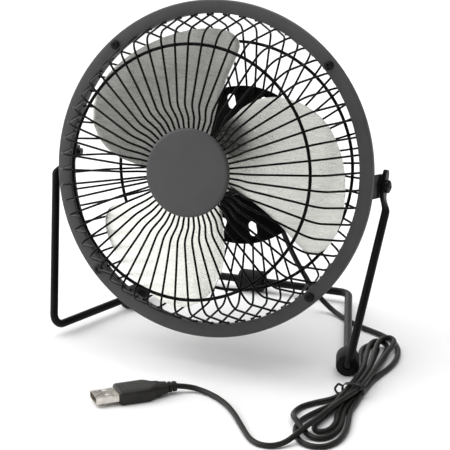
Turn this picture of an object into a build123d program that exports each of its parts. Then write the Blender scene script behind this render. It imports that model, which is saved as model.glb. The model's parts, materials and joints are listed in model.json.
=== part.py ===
from build123d import *
from math import atan2, cos, degrees, pi, radians, sin, tan
import os

os.makedirs("parts", exist_ok=True)

# A small desk fan: a wire basket on two pivots in a bent-rod stand, with a three-lobed blade.
# +Z is up, the fan blows towards -Y, and the stand stands on Z = 0. Millimetres.

# Basket
guard_radius = 92.5  # outside of the two rings
ring_face_width = 7.4
ring_thickness = 1.0
ring_rim_depth = 3.2  # turned edge of the front ring
flange_thickness = 0.9
rear_flange_depth = 3.0
ring_front = 17.1  # face of the front ring, ahead of the pivots
wire_radius = 0.6
hoop_wire_radius = 0.9
weld = 0.05  # how far welded wires sink into each other
spoke_count = 56
front_spoke_angle = 4.8
rear_spoke_angle = 0.9
front_hoop_inset = 24.0  # hoop's line inside the guard's radius
rear_hoop_inset = 22.8
shoulder_inset = 16.2  # where the front spokes turn back to the ring
rear_shoulder_inset = 14.3
shoulder_height = 31.4  # of the front spokes above the ring's face
crown_height = 37.5
spoke_end_height = 31.5  # where the spokes lie on the backing plate

# Cap and backing plate
cap_radius = 23.9
cap_thickness = 2.2
cap_clearance = 0.35  # cap above the spokes' ends
cap_boss_radius = 4.5
backing_plate_radius = 22.5
sheet = 1.0
small_screw_radius = 1.15
screw_hole_clearance = 0.15
screw_head_radius = 2.3
screw_head_height = 1.5

# Ring screws
ring_screw_count = 4
ring_screw_radius = 1.25
ring_screw_head_radius = 2.65
ring_screw_head_height = 1.6
nut_across_flats = 5.0
nut_height = 2.0

# Rear plate and cover
rear_plate_front = -29.7
rear_plate_radius = 44.8
slot_count = 12
slot_length = 8.5
slot_width = 4.8
slot_circle = 36.5
cover_radius = 25.0
cover_depth = 23.3
cover_wall = 1.6
cover_fillet = 4.0
cover_boss_circle = 21.0
cover_boss_radius = 2.8
cover_boss_depth = 15.0
cover_screw_radius = 1.1
cover_screw_reach = 7.3
cover_screw_angle = 30

# Motor
motor_radius = 16.0
motor_length = 27.0
can_wall = 1.0
shaft_radius = 1.5
running_clearance = 0.03
bush_radius = 3.0
bush_length = 4.0
bush_wall = 2.0
motor_screw_circle = 9.5
core_radius = 12.0
core_length = 14.0
air_gap = 0.6
magnet_gap = 8.0
pole_count = 3

# Blade
tip_gap = 7.7  # blade's tips inside the rings
blade_thickness = 1.2
blade_count = 3
blade_phase = 138.4
blade_pitch = 21.5
blade_camber = 2.5  # depth of the blade's hollow, which faces forwards
blade_reach = 44.0  # of the blade's sheet, each way beside its middle
blade_offset = 11.0  # from the blade's radius to its sheet's middle
blade_centre = 23.5  # ahead of the pivots
hub_radius = 14.5
hub_rear = 11.0
hub_front = 33.0
hub_wall = 2.0
hub_boss_radius = 5.0

# Pivots
tilt = 13.25  # of the fan at rest, upwards
ring_floor_gap = 6.0  # pivots' height above the floor beyond the guard's radius
pivot_y = -6.6
bracket_thickness = 1.2
bracket_width = 13.0
washer_thickness = 0.35
washer_radius = 4.5
side_clearance = 0.15
pivot_screw_radius = 1.95
pivot_clearance = 0.06
pivot_head_radius = 3.6
pivot_head_height = 2.7
pivot_nut_across_flats = 7.0
pivot_nut_height = 2.6
pivot_screw_tip = 2.4  # of the screw past its nut

# Stand
rod_radius = 2.25
corner_radius = 5.5
leg_foot_inset = 4.9  # front corners, inside the guard's radius
leg_top_outset = 7.0  # top of the legs' line, outside it
leg_foot_y = -39.3  # front corners, from the pivots
leg_top_y = -5.3
rear_corner_x = 49.5
rear_corner_y = 71.9
eyelet_thickness = 2.2
eyelet_width = 7.0
eyelet_below = 11.2
eyelet_above = 9.0
leg_end_share = 0.845  # of the leg's line, where the flattened end begins

# Feet
foot_radius = 6.2
foot_length = 15.0
foot_flat = 5.0
front_foot_place = 11.9  # middle of the foot, from the right front corner
left_foot_place = 66.0  # from the left front corner
rear_foot_x = -11.2

# Switch
switch_length = 12.6
switch_width = 8.4
switch_depth = 9.0
switch_rim = 1.3
switch_rim_height = 1.2
switch_clearance = 0.1
pocket_length = 10.4
pocket_width = 5.8
pocket_depth = 4.0
rocker_clearance = 0.2
rocker_height = 3.4
rocker_tilt = 8
rocker_pin_radius = 0.8
rocker_pin_clearance = 0.05

# Cord and plug
cord_radius = 1.5
gland_angle = -60
gland_back = 48.0
gland_neck_radius = 2.55
gland_length = 10.0
gland_base_radius = 3.2
gland_tip_radius = 2.1
gland_lip_radius = 3.4
straight_exit = 6.0
plug_neck = Vector(8.7, -95.0, 3.9)
plug_direction = Vector(-0.747, -0.664, 0).normalized()
plug_relief_length = 8.0
plug_body_length = 25.2
plug_width = 15.5
plug_height = 7.6
plug_shell_length = 12.7
plug_shell_width = 12.0
plug_shell_height = 4.5
plug_shell_wall = 0.3
plug_tongue_height = 1.9
plug_tongue_setback = 1.5
hank_height = 6.5
tie_wall = 0.8
tie_width = 3.0

# Worked out from the values above
guard_inner = guard_radius - ring_face_width
pivot_height = guard_radius + ring_floor_gap
pivot = Vector(0, pivot_y, pivot_height)
forward = Vector(0, -cos(radians(tilt)), sin(radians(tilt)))
upward = Vector(0, sin(radians(tilt)), cos(radians(tilt)))
fan_axis = Axis(pivot, forward)
spoke_end_radius = guard_inner - wire_radius + weld
rear_ring_front = ring_front - ring_rim_depth
blade_tip = guard_inner - tip_gap


def outward(angle):
    """The direction away from the fan's axis at an angle, from +X towards the top."""
    return Vector(1, 0, 0) * cos(radians(angle)) + upward * sin(radians(angle))


def across(ahead, angle=0):
    """A plane square to the fan's axis, so far ahead of the pivots: x is outward at the angle."""
    return Plane(origin=pivot + forward * ahead, x_dir=outward(angle), z_dir=forward)


def lengthwise(angle=0):
    """A plane through the fan's axis: x is the radius and y is ahead of the pivots."""
    return Plane(origin=pivot, x_dir=outward(angle), z_dir=outward(angle).cross(forward))


def block(x0, x1, y0, y1):
    """A rectangle between two corners, in the open sketch."""
    with Locations(((x0 + x1) / 2, (y0 + y1) / 2)):
        Rectangle(x1 - x0, y1 - y0)


def start_plane(path):
    """The plane square to a path at its start."""
    return Plane(origin=path @ 0, z_dir=path % 0)


def corner_radii(points):
    """The largest arcs that the runs of a cord's route leave room for."""
    radii = []
    for before, here, after in zip(points, points[1:], points[2:]):
        shorter = min((here - before).length, (after - here).length)
        turn = radians((here - before).get_angle(after - here))
        radii.append(0.45 * shorter / tan(turn / 2))
    return radii


# Rings
screw_circle = guard_radius - ring_thickness - (ring_face_width - flange_thickness - ring_thickness) / 2
ring_hole_radius = ring_screw_radius + screw_hole_clearance
with BuildPart() as front_ring:
    with BuildSketch(lengthwise()):
        block(guard_inner, guard_radius, ring_front - ring_thickness, ring_front)
        block(guard_radius - ring_thickness, guard_radius, rear_ring_front, ring_front)
        block(guard_inner, guard_inner + flange_thickness, rear_ring_front + 0.1, ring_front)
    revolve(axis=fan_axis)
    with BuildSketch(across(ring_front)):
        with PolarLocations(screw_circle, ring_screw_count, start_angle=45):
            Circle(ring_hole_radius)
    extrude(amount=-ring_thickness, mode=Mode.SUBTRACT)
front_ring.part.label = "front_ring"
export_step(front_ring.part, "parts/front_ring.step")

with BuildPart() as rear_ring:
    with BuildSketch(lengthwise()):
        block(guard_inner, guard_radius, rear_ring_front - ring_thickness, rear_ring_front)
        block(
            guard_inner,
            guard_inner + flange_thickness,
            rear_ring_front - ring_thickness - rear_flange_depth,
            rear_ring_front,
        )
    revolve(axis=fan_axis)
    with BuildSketch(across(rear_ring_front)):
        with PolarLocations(screw_circle, ring_screw_count, start_angle=45):
            Circle(ring_hole_radius)
    extrude(amount=-ring_thickness, mode=Mode.SUBTRACT)
rear_ring.part.label = "rear_ring"
export_step(rear_ring.part, "parts/rear_ring.step")

rear_ring_back = rear_ring_front - ring_thickness
with BuildPart() as ring_screws:
    with BuildSketch(across(ring_front)):
        with PolarLocations(screw_circle, ring_screw_count, start_angle=45):
            Circle(ring_screw_head_radius)
    extrude(amount=ring_screw_head_height)
    fillet(ring_screws.edges().group_by(fan_axis)[-1], 1.1)
    with BuildSketch(across(ring_front)):
        with PolarLocations(screw_circle, ring_screw_count, start_angle=45):
            Circle(ring_screw_radius)
    extrude(amount=rear_ring_back - nut_height - 1 - ring_front)
ring_screws.part.label = "ring_screws"
export_step(ring_screws.part, "parts/ring_screws.step")

with BuildPart() as ring_nuts:
    with BuildSketch(across(rear_ring_back)):
        with PolarLocations(screw_circle, ring_screw_count, start_angle=45):
            RegularPolygon(nut_across_flats / 2, 6, major_radius=False, rotation=30)
            Circle(ring_screw_radius, mode=Mode.SUBTRACT)
    extrude(amount=-nut_height)
ring_nuts.part.label = "ring_nuts"
export_step(ring_nuts.part, "parts/ring_nuts.step")

# Front guard
crown_radius = cap_radius + 12.5
shoulder_radius = guard_radius - shoulder_inset
with BuildPart() as front_spoke:
    with BuildLine(lengthwise(front_spoke_angle)) as front_path:
        FilletPolyline(
            (cap_radius - 3.4, ring_front + spoke_end_height),
            (cap_radius + 5.7, ring_front + spoke_end_height + 0.7),
            (crown_radius, ring_front + crown_height),
            (shoulder_radius, ring_front + shoulder_height),
            (spoke_end_radius - 0.25, ring_front + 1.2),
            (spoke_end_radius, rear_ring_front + 0.4),
            radius=[5, 6, 9, 8],
        )
    with BuildSketch(start_plane(front_path.line)):
        Circle(wire_radius)
    sweep()

with BuildPart() as front_spokes:
    for number in range(spoke_count):
        add(front_spoke.part.rotate(fan_axis, number * 360 / spoke_count))
front_spokes.part.label = "front_spokes"
export_step(front_spokes.part, "parts/front_spokes.step")

front_hoop_radius = guard_radius - front_hoop_inset
crown_slope = (crown_height - shoulder_height) / (shoulder_radius - crown_radius)
front_hoop_under = (wire_radius + hoop_wire_radius - weld) / cos(atan2(crown_slope, 1))
front_hoop_ahead = (
    ring_front + crown_height - crown_slope * (front_hoop_radius - crown_radius) - front_hoop_under
)
with BuildPart() as front_hoop:
    with BuildSketch(lengthwise()):
        with Locations((front_hoop_radius, front_hoop_ahead)):
            Circle(hoop_wire_radius)
    revolve(axis=fan_axis)
front_hoop.part.label = "front_hoop"
export_step(front_hoop.part, "parts/front_hoop.step")

plate_front = ring_front + spoke_end_height - wire_radius + weld
with BuildPart() as backing_plate:
    with BuildSketch(lengthwise()):
        block(
            small_screw_radius + screw_hole_clearance,
            backing_plate_radius,
            plate_front - sheet,
            plate_front,
        )
    revolve(axis=fan_axis)
backing_plate.part.label = "backing_plate"
export_step(backing_plate.part, "parts/backing_plate.step")

cap_back = ring_front + spoke_end_height + wire_radius + cap_clearance
cap_front = cap_back + cap_thickness
cap_screw_end = cap_front - 1.2
with BuildPart() as hub_cap:
    with BuildSketch(lengthwise()):
        block(small_screw_radius, cap_radius, cap_back, cap_front)
        block(small_screw_radius, cap_boss_radius, plate_front, cap_back)
        block(0, small_screw_radius, cap_screw_end, cap_front)
    revolve(axis=fan_axis)
    fillet(hub_cap.edges().group_by(fan_axis)[-1], 0.9)
hub_cap.part.label = "hub_cap"
export_step(hub_cap.part, "parts/hub_cap.step")

with BuildPart() as cap_screw:
    with BuildSketch(lengthwise()):
        block(0, screw_head_radius, plate_front - sheet - screw_head_height, plate_front - sheet)
        block(0, small_screw_radius, plate_front - sheet, cap_screw_end)
    revolve(axis=fan_axis)
cap_screw.part.label = "cap_screw"
export_step(cap_screw.part, "parts/cap_screw.step")

# Rear guard
rear_shoulder_radius = guard_radius - rear_shoulder_inset
rear_bend_radius = rear_plate_radius + 14.0
rear_bend = rear_plate_front + 5.6  # the bend and the shoulder, ahead of the pivots
rear_shoulder = rear_plate_front + 13.8
rear_spoke_start = rear_plate_front + wire_radius - weld
with BuildPart() as rear_spoke:
    with BuildLine(lengthwise(rear_spoke_angle)) as rear_path:
        FilletPolyline(
            (rear_plate_radius - 3.3, rear_spoke_start),
            (rear_plate_radius - 0.4, rear_spoke_start + 0.1),
            (rear_bend_radius, rear_bend),
            (rear_shoulder_radius, rear_shoulder),
            (spoke_end_radius - 0.05, rear_ring_back - rear_flange_depth - 0.4),
            (spoke_end_radius, rear_ring_front - 0.4),
            radius=[6, 20, 8, 8],
        )
    with BuildSketch(start_plane(rear_path.line)):
        Circle(wire_radius)
    sweep()

with BuildPart() as rear_spokes:
    for number in range(spoke_count):
        add(rear_spoke.part.rotate(fan_axis, number * 360 / spoke_count))
rear_spokes.part.label = "rear_spokes"
export_step(rear_spokes.part, "parts/rear_spokes.step")

rear_hoop_radius = guard_radius - rear_hoop_inset
rear_slope = (rear_shoulder - rear_bend) / (rear_shoulder_radius - rear_bend_radius)
rear_hoop_over = (wire_radius + hoop_wire_radius - weld) / cos(atan2(rear_slope, 1))
rear_hoop_ahead = rear_bend + rear_slope * (rear_hoop_radius - rear_bend_radius) + rear_hoop_over
with BuildPart() as rear_hoop:
    with BuildSketch(lengthwise()):
        with Locations((rear_hoop_radius, rear_hoop_ahead)):
            Circle(hoop_wire_radius)
    revolve(axis=fan_axis)
rear_hoop.part.label = "rear_hoop"
export_step(rear_hoop.part, "parts/rear_hoop.step")

# Rear plate, with the motor ahead of it and the cover behind it
plate_back = rear_plate_front - sheet
with BuildPart() as rear_plate:
    with BuildSketch(across(plate_back)):
        Circle(rear_plate_radius)
        with PolarLocations(slot_circle, slot_count, start_angle=15):
            SlotOverall(slot_length, slot_width, mode=Mode.SUBTRACT)
        with PolarLocations(motor_screw_circle, 2, start_angle=90):
            Circle(ring_screw_radius + screw_hole_clearance, mode=Mode.SUBTRACT)
        with PolarLocations(cover_boss_circle, 2, start_angle=cover_screw_angle):
            Circle(cover_screw_radius + screw_hole_clearance, mode=Mode.SUBTRACT)
        Circle(bush_radius + 0.5, mode=Mode.SUBTRACT)
    extrude(amount=sheet)
rear_plate.part.label = "rear_plate"
export_step(rear_plate.part, "parts/rear_plate.step")

can_front = rear_plate_front + motor_length
can_inner = motor_radius - can_wall
with BuildPart() as motor_can:
    with BuildSketch(lengthwise()):
        block(bush_radius, motor_radius, rear_plate_front, rear_plate_front + can_wall)
        block(can_inner, motor_radius, rear_plate_front, can_front)
        block(bush_radius, bush_radius + bush_wall, rear_plate_front, rear_plate_front + bush_length)
    revolve(axis=fan_axis)
    with BuildSketch(across(rear_plate_front)):
        with PolarLocations(motor_screw_circle, 2, start_angle=90):
            Circle(ring_screw_radius)
    extrude(amount=can_wall, mode=Mode.SUBTRACT)
motor_can.part.label = "motor_can"
export_step(motor_can.part, "parts/motor_can.step")

with BuildPart() as motor_end_cap:
    with BuildSketch(lengthwise()):
        block(bush_radius, can_inner - 0.05, can_front - 2, can_front)
        block(bush_radius, motor_radius, can_front, can_front + 1.5)
        block(bush_radius, bush_radius + bush_wall, can_front, can_front + 3)
    revolve(axis=fan_axis)
motor_end_cap.part.label = "motor_end_cap"
export_step(motor_end_cap.part, "parts/motor_end_cap.step")

with BuildPart() as rear_bush:
    with BuildSketch(lengthwise()):
        block(
            shaft_radius + running_clearance,
            bush_radius,
            rear_plate_front,
            rear_plate_front + bush_length,
        )
    revolve(axis=fan_axis)
rear_bush.part.label = "rear_bush"
export_step(rear_bush.part, "parts/rear_bush.step")

with BuildPart() as front_bush:
    with BuildSketch(lengthwise()):
        block(shaft_radius + running_clearance, bush_radius, can_front - 1, can_front - 1 + bush_length)
    revolve(axis=fan_axis)
front_bush.part.label = "front_bush"
export_step(front_bush.part, "parts/front_bush.step")

magnet_inner = core_radius + air_gap
core_rear = rear_plate_front + 6.2
core_front = core_rear + core_length
with BuildPart() as magnets:
    with BuildSketch(across(core_rear - 1.5)):
        Circle(can_inner)
        Circle(magnet_inner, mode=Mode.SUBTRACT)
        Rectangle(magnet_gap, 2 * motor_radius, mode=Mode.SUBTRACT)
    extrude(amount=core_length + 3)
magnets.part.label = "magnets"
export_step(magnets.part, "parts/magnets.step")

with BuildPart() as armature_core:
    with BuildSketch(across(core_rear)):
        Circle(core_radius)
        Circle(core_radius - 1.8, mode=Mode.SUBTRACT)
        with PolarLocations(core_radius, pole_count, start_angle=60):
            Rectangle(8, 2.5, mode=Mode.SUBTRACT)
        Circle(shaft_radius + 3)
        with PolarLocations((core_radius - 1) / 2, pole_count):
            Rectangle(core_radius - 1, 4)
        Circle(shaft_radius, mode=Mode.SUBTRACT)
    extrude(amount=core_length)
armature_core.part.label = "armature_core"
export_step(armature_core.part, "parts/armature_core.step")

coil_inner = shaft_radius + 3.3
coil_outer = core_radius - 2.1
with BuildPart() as windings:
    with BuildSketch(across(core_rear - 1.6)):
        with PolarLocations((coil_inner + coil_outer) / 2, pole_count):
            Rectangle(coil_outer - coil_inner, 8)
    extrude(amount=core_length + 3.2)
    add(armature_core.part, mode=Mode.SUBTRACT)
windings.part.label = "windings"
export_step(windings.part, "parts/windings.step")

commutator_front = can_front - 2.3
with BuildPart() as commutator:
    with BuildSketch(lengthwise()):
        block(shaft_radius, shaft_radius + 2, core_front + 1.9, commutator_front)
    revolve(axis=fan_axis)
commutator.part.label = "commutator"
export_step(commutator.part, "parts/commutator.step")

with BuildPart() as brushes:
    with BuildSketch(across(can_front - 2)):
        with PolarLocations(shaft_radius + 4.4, 2):
            Rectangle(4.6, 3)
    extrude(amount=-2)
brushes.part.label = "brushes"
export_step(brushes.part, "parts/brushes.step")

with BuildPart() as motor_screws:
    with BuildSketch(across(plate_back)):
        with PolarLocations(motor_screw_circle, 2, start_angle=90):
            Circle(screw_head_radius)
    extrude(amount=-screw_head_height)
    with BuildSketch(across(plate_back)):
        with PolarLocations(motor_screw_circle, 2, start_angle=90):
            Circle(ring_screw_radius)
    extrude(amount=sheet + can_wall + 0.8)
motor_screws.part.label = "motor_screws"
export_step(motor_screws.part, "parts/motor_screws.step")

# Rotor
with BuildPart() as shaft:
    with BuildSketch(lengthwise()):
        block(0, shaft_radius, rear_plate_front + 0.4, hub_front - 4)
    revolve(axis=fan_axis)
shaft.part.label = "shaft"
export_step(shaft.part, "parts/shaft.step")


def blade_point(share, angle):
    """A point of the blade's outline: its share of the tip's radius, and its angle."""
    return (blade_tip * share * cos(radians(angle)), blade_tip * share * sin(radians(angle)))


blade_rise = blade_reach * tan(radians(blade_pitch))
blade_side = Plane(origin=pivot, x_dir=outward(blade_phase + 90), z_dir=outward(blade_phase))
with BuildPart() as blade:
    with BuildSketch(blade_side):
        with BuildLine():
            rear_face = ThreePointArc(
                (-blade_offset - blade_reach, blade_centre - blade_rise),
                (-blade_offset, blade_centre - blade_camber),
                (-blade_offset + blade_reach, blade_centre + blade_rise),
            )
            front_face = ThreePointArc(
                (-blade_offset - blade_reach, blade_centre - blade_rise + blade_thickness),
                (-blade_offset, blade_centre - blade_camber + blade_thickness),
                (-blade_offset + blade_reach, blade_centre + blade_rise + blade_thickness),
            )
            Line(rear_face @ 0, front_face @ 0)
            Line(rear_face @ 1, front_face @ 1)
        make_face()
    extrude(amount=blade_tip + 1)
    with BuildSketch(across(0, blade_phase)):
        with BuildLine():
            Polyline(
                blade_point(0.49, 41),
                blade_point(0.13, 60),
                blade_point(0.13, -60),
                blade_point(0.86, -54.5),
                blade_point(0.99, -47),
            )
            ThreePointArc(blade_point(0.99, -47), blade_point(1.0, -24), blade_point(0.985, 6))
            Spline(
                blade_point(0.985, 6),
                blade_point(0.935, 15),
                blade_point(0.83, 25),
                blade_point(0.655, 35),
                blade_point(0.49, 41),
            )
        make_face()
    extrude(amount=blade_centre + blade_rise + blade_tip, mode=Mode.INTERSECT)

grub_ahead = hub_rear + 6
grub_plane = Plane(origin=pivot + forward * grub_ahead, z_dir=outward(blade_phase + 60))
with BuildPart() as blade_set:
    with BuildSketch(lengthwise()):
        block(0, hub_radius, hub_front - hub_wall, hub_front)
        block(hub_radius - hub_wall, hub_radius, hub_rear, hub_front)
        block(shaft_radius, hub_boss_radius, hub_rear + 2, hub_front)
    revolve(axis=fan_axis)
    for number in range(blade_count):
        add(blade.part.rotate(fan_axis, number * 360 / blade_count))
    with BuildSketch(grub_plane):
        Circle(small_screw_radius)
    extrude(amount=hub_boss_radius + 1, mode=Mode.SUBTRACT)
    with BuildSketch(grub_plane.offset(hub_boss_radius + 1)):
        Circle(small_screw_radius + 0.6)
    extrude(amount=hub_radius, mode=Mode.SUBTRACT)
blade_set.part.label = "blade_set"
export_step(blade_set.part, "parts/blade_set.step")

with BuildPart() as hub_screw:
    with BuildSketch(grub_plane.offset(shaft_radius)):
        Circle(small_screw_radius)
    extrude(amount=hub_boss_radius - shaft_radius)
hub_screw.part.label = "hub_screw"
export_step(hub_screw.part, "parts/hub_screw.step")

# Rear cover, with the switch in its end and the cord's gland in its side
cover_back = plate_back - cover_depth
gland_axis = Axis(pivot - forward * gland_back, outward(gland_angle))
gland_plane = Plane(origin=pivot - forward * gland_back, z_dir=outward(gland_angle))
with BuildPart() as rear_cover:
    with BuildSketch(lengthwise()):
        block(0, cover_radius, cover_back, plate_back)
    revolve(axis=fan_axis)
    fillet(rear_cover.edges().group_by(fan_axis)[0], cover_fillet)
    with BuildSketch(lengthwise()):
        block(0, cover_radius - cover_wall, cover_back + cover_wall, plate_back)
    revolve(axis=fan_axis, mode=Mode.SUBTRACT)
    with BuildSketch(across(plate_back)):
        with PolarLocations(cover_boss_circle, 2, start_angle=cover_screw_angle):
            Circle(cover_boss_radius)
    extrude(amount=-cover_boss_depth)
    with BuildSketch(across(plate_back)):
        with PolarLocations(cover_boss_circle, 2, start_angle=cover_screw_angle):
            Circle(cover_screw_radius)
    extrude(amount=-cover_screw_reach, mode=Mode.SUBTRACT)
    with BuildSketch(across(cover_back)):
        Rectangle(switch_length + 2 * switch_clearance, switch_width + 2 * switch_clearance)
    extrude(amount=cover_wall, mode=Mode.SUBTRACT)
    with BuildSketch(gland_plane):
        Circle(gland_neck_radius + 0.05)
    extrude(amount=cover_radius + 1, mode=Mode.SUBTRACT)
rear_cover.part.label = "rear_cover"
export_step(rear_cover.part, "parts/rear_cover.step")

with BuildPart() as cover_screws:
    with BuildSketch(across(rear_plate_front)):
        with PolarLocations(cover_boss_circle, 2, start_angle=cover_screw_angle):
            Circle(screw_head_radius - 0.1)
    extrude(amount=screw_head_height)
    with BuildSketch(across(rear_plate_front)):
        with PolarLocations(cover_boss_circle, 2, start_angle=cover_screw_angle):
            Circle(cover_screw_radius)
    extrude(amount=-sheet - cover_screw_reach)
cover_screws.part.label = "cover_screws"
export_step(cover_screws.part, "parts/cover_screws.step")

rocker_origin = pivot + forward * cover_back
with BuildPart() as switch_body:
    with BuildSketch(across(cover_back)):
        Rectangle(switch_length + 2 * switch_rim, switch_width + 2 * switch_rim)
    extrude(amount=-switch_rim_height)
    with BuildSketch(across(cover_back)):
        Rectangle(switch_length, switch_width)
    extrude(amount=switch_depth)
    with BuildSketch(across(cover_back - switch_rim_height)):
        Rectangle(pocket_length, pocket_width)
    extrude(amount=switch_rim_height + pocket_depth - 1, mode=Mode.SUBTRACT)
    with BuildSketch(Plane(origin=rocker_origin, z_dir=upward)):
        Circle(rocker_pin_radius + rocker_pin_clearance)
    extrude(amount=switch_width / 2, both=True, mode=Mode.SUBTRACT)
switch_body.part.label = "switch_body"
export_step(switch_body.part, "parts/switch_body.step")

rocker_length = pocket_length - 4 * rocker_clearance
rocker_lie = Vector(1, 0, 0) * cos(radians(rocker_tilt)) + forward * sin(radians(rocker_tilt))
with BuildPart() as switch_rocker:
    with BuildSketch(Plane(origin=rocker_origin, x_dir=rocker_lie, z_dir=upward)):
        Rectangle(rocker_length, rocker_height)
        Circle(rocker_height / 2)
    extrude(amount=pocket_width / 2 - rocker_clearance, both=True)
    with BuildSketch(Plane(origin=rocker_origin, z_dir=upward)):
        Circle(rocker_pin_radius)
    extrude(amount=switch_width / 2 - 0.4, both=True)
switch_rocker.part.label = "switch_rocker"
export_step(switch_rocker.part, "parts/switch_rocker.step")

gland_end = cover_radius + gland_length
with BuildPart() as cord_gland:
    with BuildSketch(lengthwise(gland_angle)):
        with BuildLine():
            Polyline(
                (cover_radius - cover_wall - 1.3, -gland_back),
                (cover_radius - cover_wall - 1.3, gland_lip_radius - gland_back),
                (cover_radius - cover_wall - 0.35, gland_lip_radius - gland_back),
                (cover_radius - cover_wall - 0.35, gland_neck_radius - gland_back),
                (cover_radius, gland_neck_radius - gland_back),
                (cover_radius, gland_base_radius - gland_back),
                (gland_end, gland_tip_radius - gland_back),
                (gland_end, -gland_back),
                close=True,
            )
        make_face()
    revolve(axis=gland_axis)
cord_gland.part.label = "cord_gland"
export_step(cord_gland.part, "parts/cord_gland.step")

# Pivots, the right side first and the left mirrored from it
bracket_outer = guard_radius
bracket_inner = guard_radius - bracket_thickness
eyelet_inner = bracket_outer + side_clearance + washer_thickness
eyelet_outer = eyelet_inner + eyelet_thickness
nut_outer = bracket_inner - side_clearance


def facing_out(x):
    """A plane square to the pivots' axis: x is ahead along the fan's axis, y is downwards."""
    return Plane(origin=pivot + Vector(x, 0, 0), x_dir=forward, z_dir=(1, 0, 0))


with BuildPart() as pivot_bracket_right:
    with BuildSketch(facing_out(bracket_inner)):
        block(0, rear_ring_back + weld, -bracket_width / 2, bracket_width / 2)
        Circle(bracket_width / 2)
        Circle(pivot_screw_radius + pivot_clearance, mode=Mode.SUBTRACT)
    extrude(amount=bracket_thickness)
with BuildPart() as pivot_screw_right:
    with BuildSketch(facing_out(eyelet_outer)):
        Circle(pivot_head_radius)
    extrude(amount=pivot_head_height)
    fillet(pivot_screw_right.edges().group_by(Axis.X)[-1], 1.6)
    with BuildSketch(facing_out(eyelet_outer)):
        Circle(pivot_screw_radius)
    extrude(amount=nut_outer - pivot_nut_height - pivot_screw_tip - eyelet_outer)
with BuildPart() as pivot_washer_right:
    with BuildSketch(facing_out(eyelet_inner - washer_thickness)):
        Circle(washer_radius)
        Circle(pivot_screw_radius + pivot_clearance, mode=Mode.SUBTRACT)
    extrude(amount=washer_thickness)
with BuildPart() as pivot_nut_right:
    with BuildSketch(facing_out(nut_outer)):
        RegularPolygon(pivot_nut_across_flats / 2, 6, major_radius=False)
        Circle(pivot_screw_radius, mode=Mode.SUBTRACT)
    extrude(amount=-pivot_nut_height)

right_pieces = {
    "pivot_bracket": pivot_bracket_right,
    "pivot_screw": pivot_screw_right,
    "pivot_washer": pivot_washer_right,
    "pivot_nut": pivot_nut_right,
}
for piece_name, piece in right_pieces.items():
    piece.part.label = piece_name + "_right"
    export_step(piece.part, "parts/" + piece_name + "_right.step")
    with BuildPart() as left_piece:
        add(mirror(piece.part, about=Plane.YZ, mode=Mode.PRIVATE))
    left_piece.part.label = piece_name + "_left"
    export_step(left_piece.part, "parts/" + piece_name + "_left.step")

# Stand
rod_height = foot_radius
leg_foot = Vector(guard_radius - leg_foot_inset, pivot_y + leg_foot_y, rod_height)
leg_top = Vector(guard_radius + leg_top_outset, pivot_y + leg_top_y, pivot_height)
leg_end = leg_foot + (leg_top - leg_foot) * leg_end_share
rear_corner = Vector(rear_corner_x, pivot_y + rear_corner_y, rod_height)
leg_lean = Vector(0, leg_top.Y - leg_foot.Y, leg_top.Z - leg_foot.Z).normalized()
eyelet_middle = Vector((eyelet_inner + eyelet_outer) / 2, pivot_y, pivot_height)
with BuildPart() as half_stand:
    with BuildLine() as half_path:
        FilletPolyline(
            (0, rear_corner.Y, rod_height),
            rear_corner,
            leg_foot,
            leg_end,
            radius=[corner_radius + 2.5, corner_radius],
        )
    with BuildSketch(start_plane(half_path.line)):
        Circle(rod_radius)
    sweep()
    with BuildSketch(Plane(origin=leg_end, x_dir=(1, 0, 0), z_dir=leg_top - leg_foot)):
        Circle(rod_radius)
    eyelet_start = eyelet_middle - leg_lean * eyelet_below
    with BuildSketch(Plane(origin=eyelet_start, x_dir=(1, 0, 0), z_dir=leg_lean)):
        Rectangle(eyelet_thickness, eyelet_width)
    loft()
    eyelet_side = eyelet_middle - Vector(eyelet_thickness / 2, 0, 0)
    with BuildSketch(Plane(origin=eyelet_side, x_dir=leg_lean, z_dir=(1, 0, 0))):
        block(-eyelet_below, eyelet_above, -eyelet_width / 2, eyelet_width / 2)
        Circle(pivot_screw_radius + pivot_clearance, mode=Mode.SUBTRACT)
    extrude(amount=eyelet_thickness)

with BuildPart() as stand_rod:
    add(half_stand.part)
    mirror(about=Plane.YZ)
stand_rod.part.label = "stand_rod"
export_step(stand_rod.part, "parts/stand_rod.step")

side_run = (rear_corner - leg_foot).normalized()
left_foot_start = Vector(-leg_foot.X, leg_foot.Y, rod_height)
left_run = Vector(-side_run.X, side_run.Y, 0)
foot_planes = {
    "foot_right": Plane(origin=leg_foot + side_run * front_foot_place, z_dir=side_run),
    "foot_left": Plane(origin=left_foot_start + left_run * left_foot_place, z_dir=left_run),
    "foot_rear": Plane(origin=Vector(rear_foot_x, rear_corner.Y, rod_height), z_dir=(1, 0, 0)),
}
for foot_name, foot_middle in foot_planes.items():
    foot_plane = Plane(
        origin=foot_middle.origin - foot_middle.z_dir * (foot_length / 2),
        x_dir=foot_middle.z_dir.cross(Vector(0, 0, 1)),
        z_dir=foot_middle.z_dir,
    )
    with BuildPart() as foot:
        with BuildSketch(foot_plane):
            Circle(foot_radius)
            with Locations((0, foot_radius / 2), (0, -foot_radius / 2)):
                Rectangle(foot_flat, foot_radius)
            Circle(rod_radius, mode=Mode.SUBTRACT)
        extrude(amount=foot_length)
    foot.part.label = foot_name
    export_step(foot.part, "parts/" + foot_name + ".step")

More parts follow.
